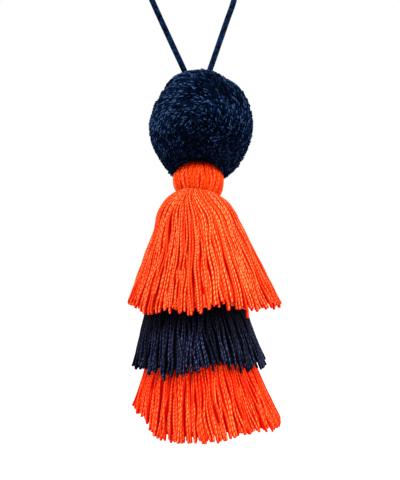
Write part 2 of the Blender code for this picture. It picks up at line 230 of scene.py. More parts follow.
# At the hem yarns gather in so many bunches, cross their neighbours and splay over the last millimetres
BUNCHES = (9, 19, 37)
CROSSING = 0.55
SPLAY_LENGTH = 4.0
# An inner layer is shown closely over this length above the hem
INNER_SHOWN = 15
# How far below the skirt above a yarn is still in its shade, and from where it is in full light
SHADE_END = 8.0
LIGHT_START = 26.0
# Layers of yarns drawn over the head: how many, and their stations
HEAD_LAYERS = ((60, 36), (48, 18))
# A skirt's packed core: columns round it, rows down it, how much shorter it is, and the rows across its
# hem, as shares of its radius
CORE_FLUTES = 180
CORE_DOWN = 30
CORE_SHORTER = 2.0
CORE_HEM_SHARES = (0.93, 0.8, 0.6, 0.4, 0.2, 0.07)

# Sections of a yarn and of a cut end, in shares of the radius
YARN_SECTION = np.array([(cos(tau * side / 6), sin(tau * side / 6)) for side in range(6)])
PILE_SECTION = np.array([(cos(tau * side / 3), sin(tau * side / 3)) for side in range(3)])
YARN_PLIES = 3

# Colours, sRGB: each yarn's own, the painted shade between yarns, and the painted highlight on their crowns
PILE_NAVY, PILE_PAINTED_SHADE, PILE_PAINTED_HIGHLIGHT = "000A22", "03060D", "375079"
YARN_ORANGE, ORANGE_PAINTED_SHADE, ORANGE_PAINTED_HIGHLIGHT = "CF400D", "C80500", "E9894E"
YARN_NAVY, NAVY_PAINTED_SHADE, NAVY_PAINTED_HIGHLIGHT = "0A0B1A", "010108", "363F66"
YARN_RED_ORANGE, RED_ORANGE_PAINTED_SHADE, RED_ORANGE_PAINTED_HIGHLIGHT = "D1380B", "CA0300", "F08044"
SATIN_NAVY = "03122A"
BACKDROP_WHITE = "FFFFFF"


def linear(hex_code):
    """An sRGB hex colour as Blender's linear one."""
    channels = [int(hex_code[start:start + 2], 16) / 255 for start in (0, 2, 4)]
    values = [c / 12.92 if c <= 0.04045 else ((c + 0.055) / 1.055) ** 2.4 for c in channels]
    return (*values, 1.0)


def height_of(drop):
    """Height above the hanging point, in metres, of a depth below the pompom's top in millimetres."""
    return (-LOOP_HEIGHT - drop) * MM


# Settings


class CordSettings(PropertyGroup):
    """Sizes and colour of the satin cord."""

    diameter: FloatProperty(
        name="Diameter", description="Thickness of the satin cord", default=2.8 * MM, unit="LENGTH")
    colour: FloatVectorProperty(
        name="Colour", description="Colour of the satin cord", default=linear(SATIN_NAVY)[:3],
        size=3, subtype="COLOR")


class PompomSettings(PropertyGroup):
    """Sizes and colours of the cut pile."""

    ends: IntProperty(name="Yarn ends", description="How many cut yarn ends the ball has", default=12500)
    end_radius: FloatProperty(
        name="Cut end radius", description="Half the thickness of a cut end",
        default=0.33 * MM, unit="LENGTH")
    lean: FloatProperty(
        name="Lean", description="How far a cut end lies over", default=2.5 * MM, unit="LENGTH")
    colour: FloatVectorProperty(
        name="Pile", description="Colour of the pile", default=linear(PILE_NAVY)[:3],
        size=3, subtype="COLOR")
    # The painted highlight on the tips of the bright ends
    tip_highlight: FloatVectorProperty(
        name="Light ends", description="Colour of the lightest ends", default=linear(PILE_PAINTED_HIGHLIGHT)[:3],
        size=3, subtype="COLOR")


class TasselSettings(PropertyGroup):
    """Sizes and colours of the tassel's yarns."""

    yarn_radius: FloatProperty(
        name="Yarn radius", description="Half the thickness of a three-ply yarn",
        default=0.75 * MM, unit="LENGTH")
    head_yarn_radius: FloatProperty(
        name="Head yarn radius", description="Half the thickness of a yarn drawn tight over the head",
        default=0.80 * MM, unit="LENGTH")
    twist_pitch: FloatProperty(
        name="Twist", description="Length of yarn in which its plies turn once",
        default=5.2 * MM, unit="LENGTH")
    top_colour: FloatVectorProperty(
        name="Top skirt", description="Colour of the top tassel's yarn", default=linear(YARN_ORANGE)[:3],
        size=3, subtype="COLOR")
    middle_colour: FloatVectorProperty(
        name="Middle skirt", description="Colour of the middle tassel's yarn", default=linear(YARN_NAVY)[:3],
        size=3, subtype="COLOR")
    bottom_colour: FloatVectorProperty(
        name="Bottom skirt", description="Colour of the bottom tassel's yarn",
        default=linear(YARN_RED_ORANGE)[:3], size=3, subtype="COLOR")


class StageSettings(PropertyGroup):
    """The backdrop and the lamps."""

    key_power: FloatProperty(
        name="Key", description="Power of the upper left softbox", default=7.6, unit="POWER")
    side_power: FloatProperty(
        name="Side", description="Power of the right softbox", default=6.5, unit="POWER")
    backdrop: FloatVectorProperty(
        name="Backdrop", description="Colour of the backdrop", default=linear(BACKDROP_WHITE)[:3],
        size=3, subtype="COLOR")


# Mesh


def build_mesh(name, points, faces, attributes, material):
    """An object of a mesh with named numbers on its points."""
    mesh = bpy.data.meshes.new(name)
    mesh.from_pydata(points.tolist(), [], faces)
    mesh.shade_smooth()
    for label, values in attributes.items():
        vector = values.ndim == 2
        layer = mesh.attributes.new(label, "FLOAT_VECTOR" if vector else "FLOAT", "POINT")
        layer.data.foreach_set("vector" if vector else "value", values.astype(np.float32).ravel())
    mesh.materials.append(material)
    item = bpy.data.objects.new(name, mesh)
    bpy.context.scene.collection.objects.link(item)
    return item


def ring_faces(rings, columns, closed=True):
    """Quads between rings of points, with a cap on the first ring, and on the last where it is closed."""
    faces = [(row * columns + c, (row + 1) * columns + c,
              (row + 1) * columns + (c + 1) % columns, row * columns + (c + 1) % columns)
             for row in range(rings - 1) for c in range(columns)]
    faces.append(tuple(range(columns)))
    if closed:
        faces.append(tuple((rings - 1) * columns + c for c in range(columns - 1, -1, -1)))
    return faces


def build_core(name, points, rings, columns, material):
    """The body behind a piece's yarns, all in the painted shade colour, as it shows only between them."""
    low = np.zeros(len(points))
    return build_mesh(name, points, ring_faces(rings, columns), {"tone": low, "inward": low + 1}, material)


def unit(vectors, least=0.0):
    """Vectors at a length of 1, or less where they are shorter than the least."""
    return vectors / np.maximum(np.linalg.norm(vectors, axis=-1, keepdims=True), least)


class Strands:
    """Gathers strands of one kind, and turns them into one mesh.

    Each point knows its strand's tone, which sets the strength of its painted highlight, how far inward it
    lies, from -1 to 1, which sets its painted shade and highlight, and its lay, the direction in which it
    stands among the plies that wind round the strand.
    """

    def __init__(self):
        self.points, self.faces, self.tone, self.inward, self.lay = [], [], [], [], []
        self.count = 0

    def add(self, centres, outward, radius, section, tone, turn=0.0, inward=None, twist=None):
        """Add strands of the same number of stations.

        Centres and outward are (strand, station, axis), and radius, turn and twist (strand, station).
        The section's first axis faces outward, and turn turns it. Where inward isn't given, the side
        that faces outward has -1 and the inner side 1. Twist winds the plies; without it there are none.
        """
        strands, stations = centres.shape[:2]
        sides = len(section)
        tangent = unit(np.gradient(centres, axis=1))
        normal = unit(outward - (outward * tangent).sum(2, keepdims=True) * tangent, 1e-9)
        side = np.cross(tangent, normal)
        turn = np.broadcast_to(turn, radius.shape)[..., None]
        x = section[:, 0] * np.cos(turn) - section[:, 1] * np.sin(turn)
        y = section[:, 0] * np.sin(turn) + section[:, 1] * np.cos(turn)
        spread = x[..., None] * normal[:, :, None] + y[..., None] * side[:, :, None]
        ring = centres[:, :, None] + spread * radius[..., None, None]
        if inward is None:
            inward = -x
        if twist is None:
            lay = np.zeros_like(x)
        else:
            lay = np.arctan2(section[:, 1], section[:, 0]) + twist[..., None]
        self.points.append(ring.reshape(-1, 3))
        self.tone.append(np.broadcast_to(tone.reshape(strands, -1, 1), x.shape).ravel())
        self.inward.append(np.broadcast_to(inward, x.shape).ravel())
        self.lay.append(np.stack([np.cos(lay), np.sin(lay), np.zeros_like(lay)], axis=-1).reshape(-1, 3))
        index = np.arange(strands * stations * sides).reshape(strands, stations, sides) + self.count
        following = np.roll(index, -1, axis=2)
        quads = np.stack([index[:, :-1], following[:, :-1], following[:, 1:], index[:, 1:]], axis=-1)
        self.faces += quads.reshape(-1, 4).tolist()
        self.faces += index[:, 0, ::-1].tolist()
        self.faces += index[:, -1].tolist()
        self.count += strands * stations * sides

    def finish(self, name, material):
        """The strands as one object."""
        return build_mesh(
            name, np.concatenate(self.points), self.faces,
            {"tone": np.concatenate(self.tone), "inward": np.concatenate(self.inward),
             "lay": np.concatenate(self.lay)}, material)


def smooth_interp(at, xs, ys):
    """A smooth curve through a table's rows, read at any number of places."""
    xs, ys = np.asarray(xs, float), np.asarray(ys, float)
    slope = np.gradient(ys, xs)
    at = np.clip(at, xs[0], xs[-1])
    i = np.clip(np.searchsorted(xs, at, side="right") - 1, 0, len(xs) - 2)
    h = xs[i + 1] - xs[i]
    t = (at - xs[i]) / h
    return ((2 * t ** 3 - 3 * t ** 2 + 1) * ys[i] + (t ** 3 - 2 * t ** 2 + t) * h * slope[i]
            + (-2 * t ** 3 + 3 * t ** 2) * ys[i + 1] + (t ** 3 - t ** 2) * h * slope[i + 1])


def ramp(value, low, high):
    """0 below low, 1 above high, and smooth between."""
    t = np.clip((value - low) / (high - low), 0, 1)
    return t * t * (3 - 2 * t)


def waves(rng, count, at, periods, strength):
    """A smooth random wander for each strand, at the stations' places in millimetres."""
    total = np.zeros((count, at.shape[-1]))
    for period in periods:
        phase = rng.uniform(0, tau, (count, 1))
        size = rng.normal(0, 1, (count, 1)) * strength * (period / periods[0]) ** 0.8
        total += size * np.sin(tau * at / period + phase)
    return total


def shared_waves(rng, angle, at):
    """A smooth wander in millimetres that neighbouring strands share."""
    total = np.zeros((len(angle), at.shape[-1]))
    for turns, period, strength in SHARED_WAVES:
        phase, lean = rng.uniform(0, tau, 2)
        total += strength * np.sin(tau * at / period + turns * angle[:, None] + phase) * (
            0.6 + 0.4 * np.sin(3 * angle + lean))[:, None]
    return total


# Materials


SMOOTH = {"interpolation_type": "SMOOTHSTEP"}


def add_node(tree, kind, settings=None, links=None):
    """A node with its settings and its links, by an input's name or number.

    A link is a socket, a node, which gives its first output, or a plain value.
    """
    node = tree.nodes.new(kind)
    for key, value in (settings or {}).items():
        setattr(node, key, value)
    for key, value in (links or {}).items():
        if isinstance(value, bpy.types.Node):
            value = value.outputs[0]
        if isinstance(value, bpy.types.NodeSocket):
            tree.links.new(value, node.inputs[key])
        else:
            node.inputs[key].default_value = value
    return node


def new_material(name):
    """A material with an empty Principled shader."""
    material = bpy.data.materials.new(name)
    material.use_nodes = True
    return material, material.node_tree, material.node_tree.nodes["Principled BSDF"]


def yarn_material(name, colour, painted_shade, painted_highlight, gloss, roughness, ply_gap_shade=0.5, fuzz=0.25):
    """Spun and plied acrylic yarn: matt, with a painted highlight on its crown, slanting plies, and painted
    shade between yarns.

    The ply gap shade is how much of the painted shade colour the gaps between plies have, and fuzz how uneven
    the fibres are.
    """
    material, tree, shader = new_material(name)
    tone = add_node(tree, "ShaderNodeAttribute", {"attribute_name": "tone"})
    inward = add_node(tree, "ShaderNodeAttribute", {"attribute_name": "inward"})
    # Painted shade: little light gets between yarns, so the shade colour sets in a short way in from the
    # crown
    deep = add_node(tree, "ShaderNodeMapRange", SMOOTH, {
        0: inward.outputs["Fac"], 1: -0.93, 2: -0.57, 3: 0.0, 4: 1.0})
    # Painted highlight along each yarn's crown, on its outermost part
    ridge = add_node(tree, "ShaderNodeMapRange", links={
        0: inward.outputs["Fac"], 1: -1.0, 2: -0.74, 3: 1.5, 4: 0.0})
    # Three plies lie round a yarn: the narrow gaps between them wind with it, and get painted shade and less
    # of the painted highlight
    lay = add_node(tree, "ShaderNodeAttribute", {"attribute_name": "lay"})
    split = add_node(tree, "ShaderNodeSeparateXYZ", links={0: lay.outputs["Vector"]})
    angle = add_node(tree, "ShaderNodeMath", {"operation": "ARCTAN2"}, {
        0: split.outputs[1], 1: split.outputs[0]})
    turned = add_node(tree, "ShaderNodeMath", {"operation": "MULTIPLY"}, {0: angle, 1: YARN_PLIES})
    ply = add_node(tree, "ShaderNodeMath", {"operation": "COSINE"}, {0: turned})
    gap = add_node(tree, "ShaderNodeMapRange", SMOOTH, {0: ply, 1: -1.0, 2: 0.1, 3: ply_gap_shade, 4: 0.0})
    ply_top = add_node(tree, "ShaderNodeMapRange", SMOOTH, {0: ply, 1: -1.0, 2: 0.3, 3: 0.05, 4: 1.0})
    groove = add_node(tree, "ShaderNodeMath", {"operation": "MAXIMUM"}, {0: deep, 1: gap})
    place = add_node(tree, "ShaderNodeTexCoord")
    # Fibres of 0.02 mm are too fine to show, so they are drawn as wisps of about 0.8 mm
    fibre = add_node(tree, "ShaderNodeTexNoise", links={
        "Vector": place.outputs["Object"], "Scale": 1 / (0.8 * MM), "Detail": 2.0, "Roughness": 0.6})
    lift = add_node(tree, "ShaderNodeMath", {"operation": "MULTIPLY", "use_clamp": True}, {
        0: tone.outputs["Fac"], 1: ridge})
    crown = add_node(tree, "ShaderNodeMath", {"operation": "MULTIPLY"}, {0: lift, 1: ply_top})
    mixed = add_node(tree, "ShaderNodeMix", {"data_type": "RGBA"}, {0: crown, 6: colour, 7: painted_highlight})
    spread = add_node(tree, "ShaderNodeMapRange", links={
        0: fibre, 1: 0.3, 2: 0.7, 3: 1 - fuzz, 4: 1 + fuzz})
    fibred = add_node(tree, "ShaderNodeMix", {"data_type": "RGBA", "blend_type": "MULTIPLY"}, {
        0: 1.0, 6: mixed.outputs[2], 7: spread})
    depth = add_node(tree, "ShaderNodeMapRange", SMOOTH, {0: groove, 1: 0.1, 2: 1.0, 3: 0.0, 4: 0.95})
    sunk = add_node(tree, "ShaderNodeMix", {"data_type": "RGBA"}, {
        0: depth, 6: fibred.outputs[2], 7: painted_shade})
    tree.links.new(sunk.outputs[2], shader.inputs["Base Color"])
    # Plies stand 0.1 mm proud of their gaps, and fibres stray by about as much
    rounded = add_node(tree, "ShaderNodeBump", links={
        "Height": ply, "Strength": 0.6, "Distance": 0.10 * MM})
    bump = add_node(tree, "ShaderNodeBump", links={
        "Height": fibre, "Strength": 0.5, "Distance": 0.12 * MM, "Normal": rounded})
    tree.links.new(bump.outputs[0], shader.inputs["Normal"])
    shader.inputs["Roughness"].default_value = roughness
    shader.inputs["Specular IOR Level"].default_value = gloss
    shader.inputs["IOR"].default_value = 1.5
    return material


def satin_cord_material(colour):
    """Satin-woven rayon cord: smooth threads that float over several others give it a soft gloss."""
    material, tree, shader = new_material("satin_woven_rayon")
    place = add_node(tree, "ShaderNodeTexCoord")
    # Painted light and shade: small light and dark flecks, where floats face the light and where they dive
    # under.
    # Threads of 0.1 mm are too fine to show, so the floats are drawn 1.6 mm long
    threads = add_node(tree, "ShaderNodeTexNoise", links={
        "Vector": place.outputs["Object"], "Scale": 1 / (1.6 * MM), "Detail": 1.5})
    shade = add_node(tree, "ShaderNodeMapRange", links={0: threads, 1: 0.36, 2: 0.64, 3: 0.03, 4: 2.3})
    tint = add_node(tree, "ShaderNodeMix", {"data_type": "RGBA", "blend_type": "MULTIPLY"}, {
        0: 1.0, 6: colour, 7: shade})
    tree.links.new(tint.outputs[2], shader.inputs["Base Color"])
    bump = add_node(tree, "ShaderNodeBump", links={
        "Height": threads, "Strength": 0.3, "Distance": 0.1 * MM})
    tree.links.new(bump.outputs[0], shader.inputs["Normal"])
    shader.inputs["Roughness"].default_value = 0.42
    shader.inputs["Specular IOR Level"].default_value = 0.015
    shader.inputs["IOR"].default_value = 1.5
    return material


# Cord


def cord_path(step):
    """Points at even distances along a smooth curve through the cord's route, in metres, and its length."""
    route = np.array([(across * MM, 0.0, height_of(-up)) for across, up in CORD_ROUTE])
    route = np.concatenate([2 * route[:1] - route[1:2], route, 2 * route[-1:] - route[-2:-1]])
    dense = []
    for before, start, end, after in zip(route, route[1:], route[2:], route[3:]):
        for t in np.arange(CORD_SPAN_STEPS) / CORD_SPAN_STEPS:
            dense.append(0.5 * (2 * start + (end - before) * t
                                + (2 * before - 5 * start + 4 * end - after) * t ** 2
                                + (3 * start - before - 3 * end + after) * t ** 3))
    dense = np.array([*dense, route[-2]])
    lengths = np.concatenate([[0], np.cumsum(np.linalg.norm(np.diff(dense, axis=0), axis=1))])
    at = np.linspace(0, lengths[-1], int(np.ceil(lengths[-1] / step)) + 1)
    return np.stack([np.interp(at, lengths, dense[:, axis]) for axis in range(3)], axis=1), lengths[-1]


class CHARM_OT_cord_loop(Operator):
    """Make the satin cord loop"""

    bl_idname = "charm.cord_loop"
    bl_label = "Cord loop"

    def execute(self, context):
        settings = context.scene.charm_cord
        path, length = cord_path(CORD_STEP * MM)
        stations = len(path)
        angles = tau * np.arange(CORD_SIDES) / CORD_SIDES
        ribs = 1 + CORD_RIB * np.cos(angles * CORD_SIDES / 2)
        section = np.stack([np.cos(angles) * ribs, np.sin(angles) * ribs], axis=1)
        turn = np.linspace(0, length / (CORD_RIB_PITCH * MM) * tau, stations)[None]
        outward = np.tile([0.0, -1.0, 0.0], (1, stations, 1))
        radius = np.full((1, stations), settings.diameter / 2)
        radius[0, 0] = radius[0, -1] = CORD_END_TAPER * settings.diameter / 2
        strands = Strands()
        strands.add(path[None], outward, radius, section, np.array([0.5]), turn=turn)
        cord = strands.finish("satin_cord_loop", satin_cord_material((*settings.colour, 1.0)))
        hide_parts("hanging_loop")
        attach(cord, "root")
        return {"FINISHED"}


# Pompom


def push_from_head(points, margin=0.0):
    """Points of the pile, moved clear of the tassel's head and of the parting before it."""
    centre = np.array([HEAD_ROOM_SWING * MM, -TASSEL_FORWARD * MM, height_of(HEAD_ROOM_DROP)])
    room = np.array([HEAD_ROOM_HALF_WIDTH, HEAD_ROOM_HALF_WIDTH, HEAD_ROOM_HALF_HEIGHT])
    room = (room + np.asarray(margin)[..., None]) * MM
    offset = points - centre
    ahead = np.clip(offset[..., 1], -PARTING_DEPTH * MM, 0.0)
    inward = np.stack([offset[..., 0], offset[..., 1] - ahead, np.maximum(offset[..., 2], 0.0)], axis=-1)
    depth = np.linalg.norm(inward / room, axis=-1)
    inside = (depth < 1) & (depth > 1e-6)
    push = np.where(inside, 1 / np.maximum(depth, 0.05) - 1, 0.0)
    return points + inward * push[..., None]


def push_from_line(points, line, clearance):
    """Points moved out to a clearance from a line of points."""
    moved = points.copy()
    flat = moved.reshape(-1, 3)
    near = flat[:, 2] > line[:, 2].min() - clearance
    part = flat[near]
    gaps = part[:, None] - line[None]
    distance = np.linalg.norm(gaps, axis=2)
    nearest = distance.argmin(axis=1)
    rows = np.arange(len(part))
    gap, size = gaps[rows, nearest], distance[rows, nearest]
    push = np.where(size < clearance, clearance / np.maximum(size, 1e-5) - 1, 0.0)
    flat[near] = part + gap * np.minimum(push, 8.0)[:, None]
    return flat.reshape(points.shape)


def noise_at(directions, scale, offset):
    """Smooth noise, read on each direction."""
    return np.array([noise.noise(Vector(d) * scale + Vector(offset)) for d in directions])


def noise_vectors_at(directions, scale):
    """Smooth noise as a vector, read on each direction."""
    return np.array([noise.noise_vector(Vector(d) * scale) for d in directions])


def pile_reach(direction):
    """How far the trimmed pile reaches on a direction, as a share of the ball's size."""
    x, y, z = direction
    reach = 0.985
    # Flatter at the top and at the upper left, as it was trimmed
    reach -= 0.045 * max(0.0, (z - 0.75) / 0.25)
    heights, shares = zip(*LEFT_TRIM)
    reach -= np.interp(z, heights, shares, left=0.0) * exp(-(y / 0.4) ** 2) * (x < 0)
    # And a little at the upper right
    reach -= 0.036 * exp(-((x - 0.53) ** 2 + (z - 0.82) ** 2) / 0.06)
    # Fuller where it stands round the tassel's head
    reach += 0.045 * exp(-((z + 0.82) / 0.12) ** 2)
    reach += 0.014 * noise.noise(Vector((x, y, z)) * 3.1)
    reach += 0.016 * noise.noise(Vector((x, y, z)) * 8.0 + Vector((7.0, 3.0, 1.0)))
    return reach


def pile_painted_light(direction):
    """Painted light and shade of the pile on each direction: painted shade below, with patches on its front.
    """
    light = 0.75 + 0.45 * noise_at(direction, 2.3, (4.0, 1.0, 8.0))
    front = ramp(-direction[:, 1], 0.0, 0.3)
    for across, up, size, change in PILE_PATCHES:
        apart = (direction[:, 0] - across) ** 2 + (direction[:, 2] - up) ** 2
        light += change * front * np.exp(-apart / size ** 2)
    # Painted shade, darker towards the bottom
    light *= 0.28 + 0.72 * ramp(direction[:, 2], -0.8, 0.15)
    # Painted light and shade in spots of about 3 mm, as on tufts, lighter on top than between them
    light *= 1 + 0.8 * noise_at(direction, 9.0, (2.0, 9.0, 5.0))
    return np.clip(light, 0.18, 1.5)


def pile_directions(rng, count):
    """Directions of the cut ends from the ball's middle, almost evenly spread."""
    rank = np.arange(count) + 0.5
    up = 1 - 2 * rank / count
    spin = pi * (1 + 5 ** 0.5) * rank
    flat = np.sqrt(1 - up ** 2)
    direction = np.stack([flat * np.cos(spin), flat * np.sin(spin), up], axis=1)
    return unit(direction + rng.normal(0, 0.012, direction.shape))


def pile_flow(rng, direction):
    """Which way each cut end lies over: round the whorl and out from it, and more tangled underneath."""
    whorl = np.array(WHORL) / np.linalg.norm(WHORL)
    sweep = np.cross(whorl, direction)
    outflow = direction * (direction @ whorl)[:, None] - whorl
    # A slight droop too, then swirls of about 9 mm and tangles of about 4 mm
    flow = 1.3 * sweep + 0.25 * outflow + np.array([0, 0, -0.10])
    flow += 0.5 * noise_vectors_at(direction, 2.7) + 0.45 * noise_vectors_at(direction, 7.0)
    stray = 0.15 + 0.35 * ramp(-direction[:, 2], -0.15, 0.45)
    flow += rng.normal(0, 1, direction.shape) * stray[:, None]
    flow -= (flow * direction).sum(1, keepdims=True) * direction
    return unit(flow, 0.3)


def trim_pile(ends, centre, size, uneven):
    """The ball is trimmed, so every end is brought to its surface however far it lies over."""
    from_centre = (ends - centre) / size
    reach = np.array([pile_reach(d) for d in unit(from_centre).reshape(-1, 3)]).reshape(ends.shape[:2])
    level = reach + uneven[:, None] - PILE_DEPTH * (1 - PILE_STATIONS[None] ** 0.6)
    from_centre *= (level / np.linalg.norm(from_centre, axis=2))[..., None]
    return centre + from_centre * size


class CHARM_OT_pompom(Operator):
    """Make the ball of cut pile"""

    bl_idname = "charm.pompom"
    bl_label = "Pompom"

    def execute(self, context):
        settings = context.scene.charm_pompom
        # Blender's noise vectors are offset by the clock unless their seed is set
        noise.seed_set(1)
        rng = np.random.default_rng(5)
        count = settings.ends
        shares = PILE_STATIONS
        size = np.array([POMPOM_HALF_WIDTH, POMPOM_HALF_WIDTH, POMPOM_HALF_HEIGHT]) * MM
        centre = np.array([0.0, 0.0, height_of(POMPOM_HALF_HEIGHT)])
        direction = pile_directions(rng, count)
        flow = pile_flow(rng, direction)

        # Its right side is more ragged
        ragged = ramp(direction[:, 0], 0.4, 0.8) * (1 - ramp(direction[:, 2], 0.3, 0.6))
        uneven = rng.normal(0, 1, count) * (0.004 + 0.013 * ragged)
        bright = rng.uniform(0, 1, count) < BRIGHT_SHARE
        lean = settings.lean * rng.uniform(0.7, 1.3, count) * np.where(bright, BRIGHT_LEAN, 1.0)
        uneven += np.where(bright, BRIGHT_STANDS_OUT, 0.0)
        # An end leans over about a point a little above its middle
        root = centre + direction * size * (1 - PILE_DEPTH)
        ends = root[:, None] + flow[:, None] * lean[:, None, None] * (shares ** 1.8 - 0.35)[None, :, None]
        ends = trim_pile(ends, centre, size, uneven)

        # Only ends that have room beside the head are kept
        kept = np.linalg.norm(push_from_head(ends) - ends, axis=2)[:, -1] < TIP_PUSH_MOST * MM
        kept &= np.linalg.norm(push_from_head(root) - root, axis=1) < ROOT_PUSH_MOST * MM
        ends, direction, flow, bright = ends[kept], direction[kept], flow[kept], bright[kept]
        count = len(ends)
        outward = np.repeat(direction[:, None], len(shares), axis=1)
        across = unit(np.cross(direction, flow))
        phase = rng.uniform(0, tau, count)
        light = pile_painted_light(direction)
        # Painted highlight: bright ends differ a lot and the rest are nearly dark. Painted shade darkens them
        # in a dark patch, and from each end's root, between the ends, it reaches further out there
        tone = np.where(bright, rng.uniform(0.45, 1.5, count), rng.uniform(0.0, 0.12, count)) * light
        tone = np.clip(tone, 0, 1)
        shadow = np.where(bright, 0.15, 0.45) * np.clip(0.75 - light, 0, 1)
        depth = (1 - 2 * ramp(shares, 0.1, 0.9))[None] + shadow[:, None]

        # Each end curls a little, and all are tucked clear of the cord and the head
        tuck = rng.uniform(-1.2, 2.4, (count, 1)) * shares[None] + rng.uniform(0.0, 1.0, (count, 1))
        turn = phase[:, None] + shares[None] * 2.6
        curl = 0.25 * settings.end_radius * (0.9 + 0.7 * shares[None] ** 3)
        place = (ends + across[:, None] * (np.cos(turn) * curl)[..., None]
                 + outward * (np.sin(turn) * curl * 0.7)[..., None])
        path, _ = cord_path(CORD_STEP * MM)
        inside = path[path[:, 2] < height_of(-CORD_CLEAR_FROM)]
        clearance = context.scene.charm_cord.diameter / 2 + CORD_CLEARANCE * MM
        place = push_from_head(push_from_line(place, inside, clearance), tuck)
        tip = np.linalg.norm((place[:, -1] - centre) / size, axis=1)
        swollen = tip > np.where(direction[:, 2] < -0.6, SWOLLEN_BELOW, SWOLLEN)
        swollen |= np.linalg.norm(np.diff(place, axis=1), axis=2).max(axis=1) > STRETCHED * MM
        radius = settings.end_radius * rng.uniform(0.85, 1.2, (count, 1)) * PILE_THICKNESS
        radius *= np.where(bright, BRIGHT_THICKNESS, 1.0)[:, None]

        # Cut acrylic pile, with almost no gloss: painted highlight on its tips, over painted shade, nearly
        # black, in its depths
        material = yarn_material("cut_acrylic_pile", (*settings.colour, 1.0), linear(PILE_PAINTED_SHADE),
                                 (*settings.tip_highlight, 1.0), 0.005, 0.5)
        # Two pieces, parted just below the ball's middle
        above = ends[:, -1, 2] > centre[2] - 2 * MM
        pieces = []
        for name, half in (("pompom_pile_upper", above), ("pompom_pile_lower", ~above)):
            chosen = half & ~swollen
            strands = Strands()
            strands.add(place[chosen], outward[chosen], radius[chosen], PILE_SECTION, tone[chosen],
                        turn=phase[chosen, None], inward=depth[chosen, :, None])
            pieces.append(strands.finish(name, material))
        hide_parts("pompom")
        pieces.append(pompom_core(centre, size, material))
        for piece in pieces:
            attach(piece, "root")
        return {"FINISHED"}


def pompom_core(centre, size, material):
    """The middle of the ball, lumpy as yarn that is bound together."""
    points = []
    for row in range(CORE_ROWS + 1):
        tilt = pi * (row + 0.001) / (CORE_ROWS + 0.002)
        for column in range(CORE_COLUMNS):
            angle = tau * column / CORE_COLUMNS
            d = Vector((sin(tilt) * cos(angle), sin(tilt) * sin(angle), cos(tilt)))
            lump = pile_reach(d) - CORE_SUNK + 0.02 * noise.noise(d * 14.0)
            points.append([centre[axis] + d[axis] * size[axis] * lump for axis in range(3)])
    # It stays a few millimetres further from the head than the pile does
    points = push_from_head(np.array(points), 2.4)
    return build_core("pompom_bound_core", points, CORE_ROWS + 1, CORE_COLUMNS, material)


# Tassel


def place_round(angle, radius, swing, drop):
    """Points round a tassel's axis, in metres; everything given in millimetres."""
    return np.stack([
        (swing + radius * np.cos(angle)) * MM,
        (-TASSEL_FORWARD + radius * np.sin(angle)) * MM,
        (-LOOP_HEIGHT - drop) * MM,
    ], axis=-1)


def facing_out(angle, up=0.0):
    """Directions straight out from a tassel's axis, and a little up."""
    return np.stack([np.cos(angle), np.sin(angle), np.full_like(angle, up)], axis=-1)


def angles_round(rng, count):
    """Angles of yarns side by side round a tassel, each up to a quarter of its room to one side."""
    return tau * (np.arange(count) + rng.uniform(-0.25, 0.25, count)) / count


def ply_twist(rng, centres, pitch):
    """How far each yarn's plies have wound at its stations."""
    steps = np.linalg.norm(np.diff(centres, axis=1), axis=2)
    along = np.concatenate([np.zeros((len(centres), 1)), np.cumsum(steps, axis=1)], axis=1)
    return -tau * along / pitch + rng.uniform(0, tau, (len(centres), 1))


def neck_tilt(angle, drop):
    """How much lower the neck sits on one side: right and back are lower."""
    lower = 0.6 + 0.95 * np.cos(angle) + 2.1 * np.sin(angle)
    return lower * ramp(drop, 50, 57) * (1 - ramp(drop, 62, 80))


def fan_pull(angle):
    """The yarns fan out from the front and the back of the neck.

    Gives how far round the neck a yarn starts from its place at the hem, and how much closer together
    the yarns lie for that.
    """
    turned = 2 * (angle - radians(-110))
    return -0.38 * np.sin(turned), -0.76 * np.cos(turned)


def hem_offset(skirt, angle):
    """How much deeper the cut hem hangs on one side."""
    degrees, depths = zip(*skirt.hem_line)
    return np.interp(np.degrees(angle), degrees, depths, period=360)


def stacking(level, thickness):
    """How deep a yarn lies under those that take up the room above it.

    Up to a level of 0.9 all have room on top. Beyond it, each full round lies about half a yarn deeper.
    """
    over = np.maximum(level - 0.9, 0.0)
    return thickness * 0.45 * over ** 2 / (over + 0.12)


def hanging_order(count):
    """When each yarn is hung, from 0 to 1, so that those hung so far are always evenly spread."""
    values = []
    for number in range(count):
        value, share = 0.0, 0.5
        while number:
            value += share * (number & 1)
            number >>= 1
            share /= 2
        values.append(value)
    return np.array(values)


def packed_core(skirt, rings, material):
    """The yarns behind the shown ones as one fluted body, closed by a lumpy hem."""
    angle = tau * np.arange(CORE_FLUTES) / CORE_FLUTES
    drops, radii, swings = zip(*rings)
    bottom = skirt.hem - CORE_SHORTER + hem_offset(skirt, angle)
    rows = []
    for share in np.linspace(0, 1, CORE_DOWN):
        drop = drops[0] + (bottom - drops[0]) * share
        # Under the shown yarns, and a little slimmer at the neck
        radius = smooth_interp(drop, drops, radii) - 1.0 - 0.6 * share
        radius -= 0.2 * np.exp(-((drop - 61) / 4) ** 2)
        radius += 0.5 * skirt.fanned * (1 - ramp(drop, 58, 61))
        flute = 0.25 * np.cos(angle * CORE_FLUTES / 2) * share
        lowered = drop + skirt.fanned * neck_tilt(angle, drop)
        swing = smooth_interp(drop, drops, swings)
        rows.append(place_round(angle, np.maximum(radius + flute, 0.5), swing, lowered))
    # Across its hem it is rough, and 2 mm hollow
    edge = rows[-1]
    middle = edge.mean(axis=0)
    rng = np.random.default_rng(61)
    for share in CORE_HEM_SHARES:
        row = middle + (edge - middle) * share
        row[:, 2] += (2.0 * (1 - share) + rng.uniform(-0.5, 0.5, CORE_FLUTES)) * MM
        rows.append(row)
    return build_core(f"{skirt.name}_packed_core", np.concatenate(rows), len(rows), CORE_FLUTES, material)


